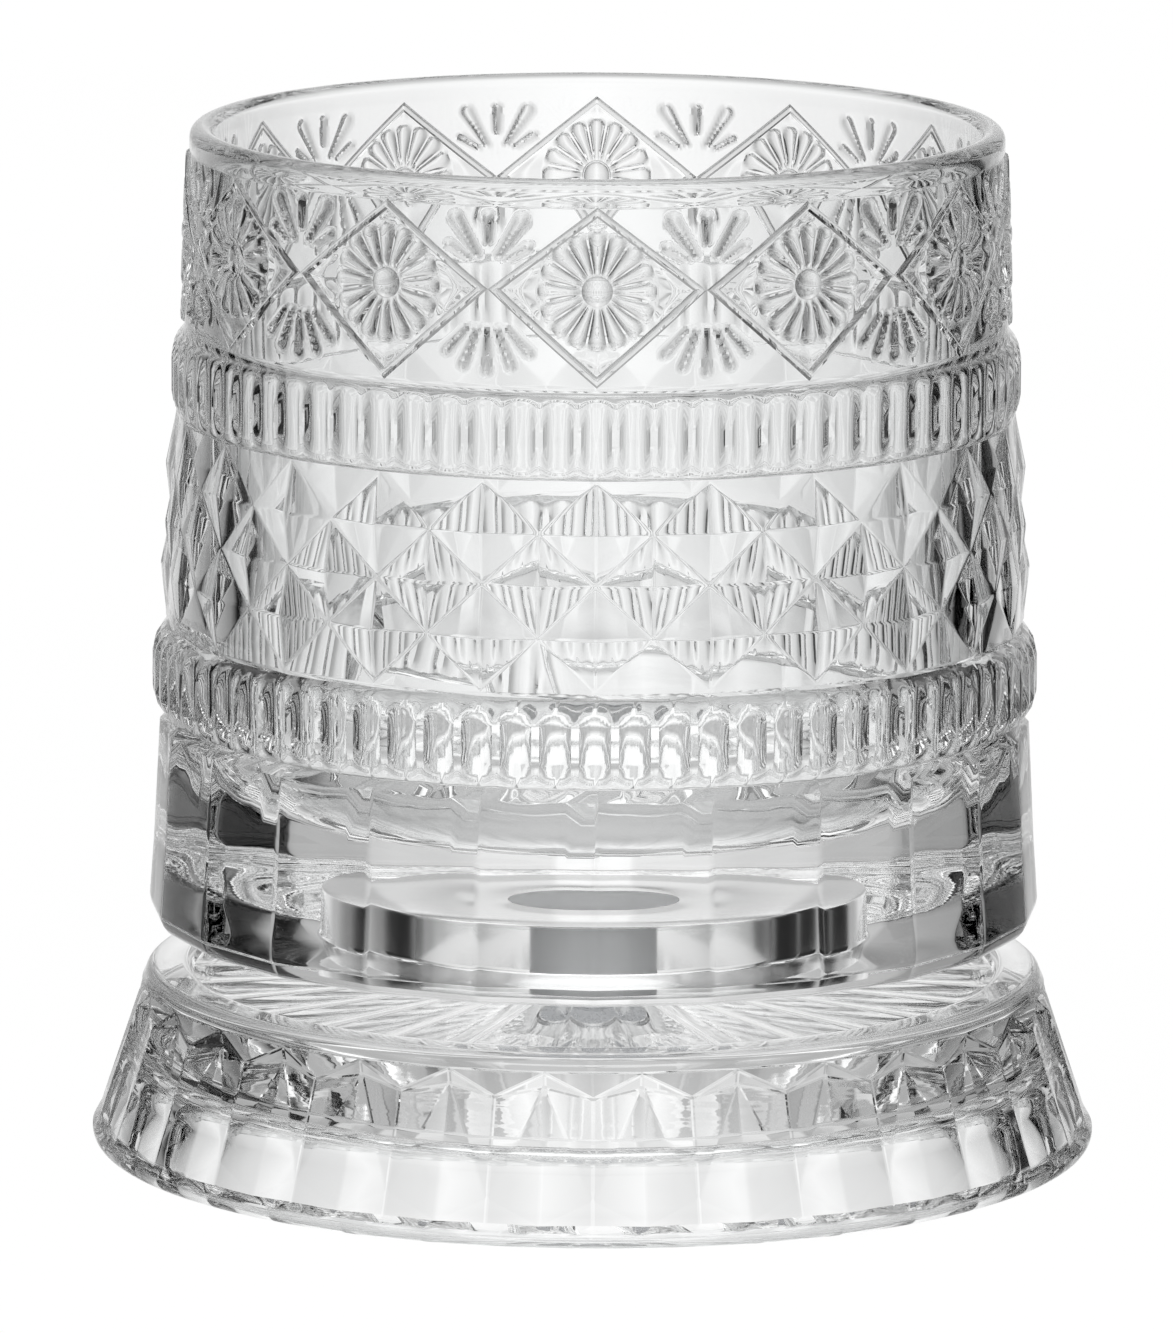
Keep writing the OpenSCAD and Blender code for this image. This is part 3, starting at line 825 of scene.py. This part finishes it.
def paper_white():
    """A glowing white sheet whose brightness wanders by a hair."""
    material = bpy.data.materials.new("paper_white")
    material.use_nodes = True
    tree = material.node_tree
    tree.nodes.clear()
    glow = tree.nodes.new("ShaderNodeEmission")
    glow.inputs["Color"].default_value = (1, 1, 1, 1)
    shade = tree.nodes.new("ShaderNodeMapRange")
    shade.inputs["To Min"].default_value = 0.99
    shade.inputs["To Max"].default_value = 1.01
    tree.links.new(noise(tree, 4, 2).outputs["Fac"], shade.inputs["Value"])
    tree.links.new(shade.outputs["Result"], glow.inputs["Strength"])
    out = tree.nodes.new("ShaderNodeOutputMaterial")
    tree.links.new(glow.outputs["Emission"], out.inputs["Surface"])
    return material


def add_floor():
    """A wide pale floor just under the coaster. The glass doesn't see it, and refracts the studio alone."""
    half = 4.5
    mesh = bpy.data.meshes.new("floor")
    corners = [(-half, -half, 0), (half, -half, 0), (half, half, 0), (-half, half, 0)]
    mesh.from_pydata(corners, [], [(0, 1, 2, 3)])
    floor = bpy.data.objects.new("floor", mesh)
    floor.data.materials.append(paper_white())
    floor.location = (0, 0, -0.0003)
    floor.visible_transmission = False
    floor.visible_glossy = False
    bpy.context.scene.collection.objects.link(floor)


def ramp(tree, value, stops):
    """A grey ramp over a value from 0 to 1, from pairs of position and brightness."""
    node = tree.nodes.new("ShaderNodeValToRGB")
    tree.links.new(value, node.inputs["Fac"])
    elements = node.color_ramp.elements
    while len(elements) > 1:
        elements.remove(elements[-1])
    for k, (position, level) in enumerate(stops):
        element = elements[0] if k == 0 else elements.new(position)
        element.position = position
        element.color = (level, level, level, 1)
    return node.outputs["Color"]


def maths(tree, operation, a, b):
    """A maths node on two values, each a socket or a number."""
    node = tree.nodes.new("ShaderNodeMath")
    node.operation = operation
    for socket, value in zip(node.inputs, (a, b)):
        if isinstance(value, (int, float)):
            socket.default_value = value
        else:
            tree.links.new(value, socket)
    return node.outputs[0]


def make_world():
    """The studio that the glass sees: bright behind and in front, black flags aside, a soft box overhead."""
    world = bpy.data.worlds.new("studio")
    bpy.context.scene.world = world
    world.use_nodes = True
    tree = world.node_tree
    place = tree.nodes.new("ShaderNodeTexCoord")
    split = tree.nodes.new("ShaderNodeSeparateXYZ")
    tree.links.new(place.outputs["Generated"], split.inputs["Vector"])
    turn = maths(tree, "ARCTAN2", split.outputs["X"], split.outputs["Y"])
    around = maths(tree, "ADD", maths(tree, "DIVIDE", turn, 2 * math.pi), 0.5)
    height = maths(tree, "ADD", maths(tree, "MULTIPLY", split.outputs["Z"], 0.5), 0.5)
    sides = ramp(tree, around, [(0.5 + degrees / 360, level) for degrees, level in SIDE_LIGHT])
    share = ramp(tree, height, [(0.5 + z / 2, level) for z, level in SIDE_SHARE])
    above = ramp(tree, height, [(0.5 + z / 2, level) for z, level in UPPER_LIGHT])
    mix = tree.nodes.new("ShaderNodeMix")
    mix.data_type = "RGBA"
    tree.links.new(share, mix.inputs["Factor"])
    tree.links.new(above, mix.inputs["A"])
    tree.links.new(sides, mix.inputs["B"])
    tree.links.new(mix.outputs["Result"], tree.nodes["Background"].inputs["Color"])


def make_camera():
    """A long lens at the photograph's height, tilt and slight roll."""
    data = bpy.data.cameras.new("camera")
    data.lens = LENS_MM
    data.sensor_width = 36.0
    data.clip_start, data.clip_end = 0.05, 20.0
    camera = bpy.data.objects.new("camera", data)
    bpy.context.scene.collection.objects.link(camera)
    camera.location = CAMERA_PLACE
    camera.rotation_mode = "XYZ"
    camera.rotation_euler = (math.radians(90 - CAMERA_DOWN), math.radians(-CAMERA_ROLL), 0)
    bpy.context.scene.camera = camera


def set_light_paths():
    """Enough bounces for light to pass through every glass wall and off the inside faces."""
    cycles = bpy.context.scene.cycles
    cycles.max_bounces = 32
    cycles.transmission_bounces = 32
    cycles.glossy_bounces = 12
    cycles.transparent_max_bounces = 16
    bpy.context.scene.view_settings.view_transform = "Standard"


make_camera()
add_floor()
make_world()
set_light_paths()
make_tumbler(glass_material("tumbler_glass", 0.05), glass_material("well_glass", 0.05, 0.3))
make_coaster(glass_material("coaster_glass", 0.05))
dress_bearing()

bpy.context.view_layer.update()
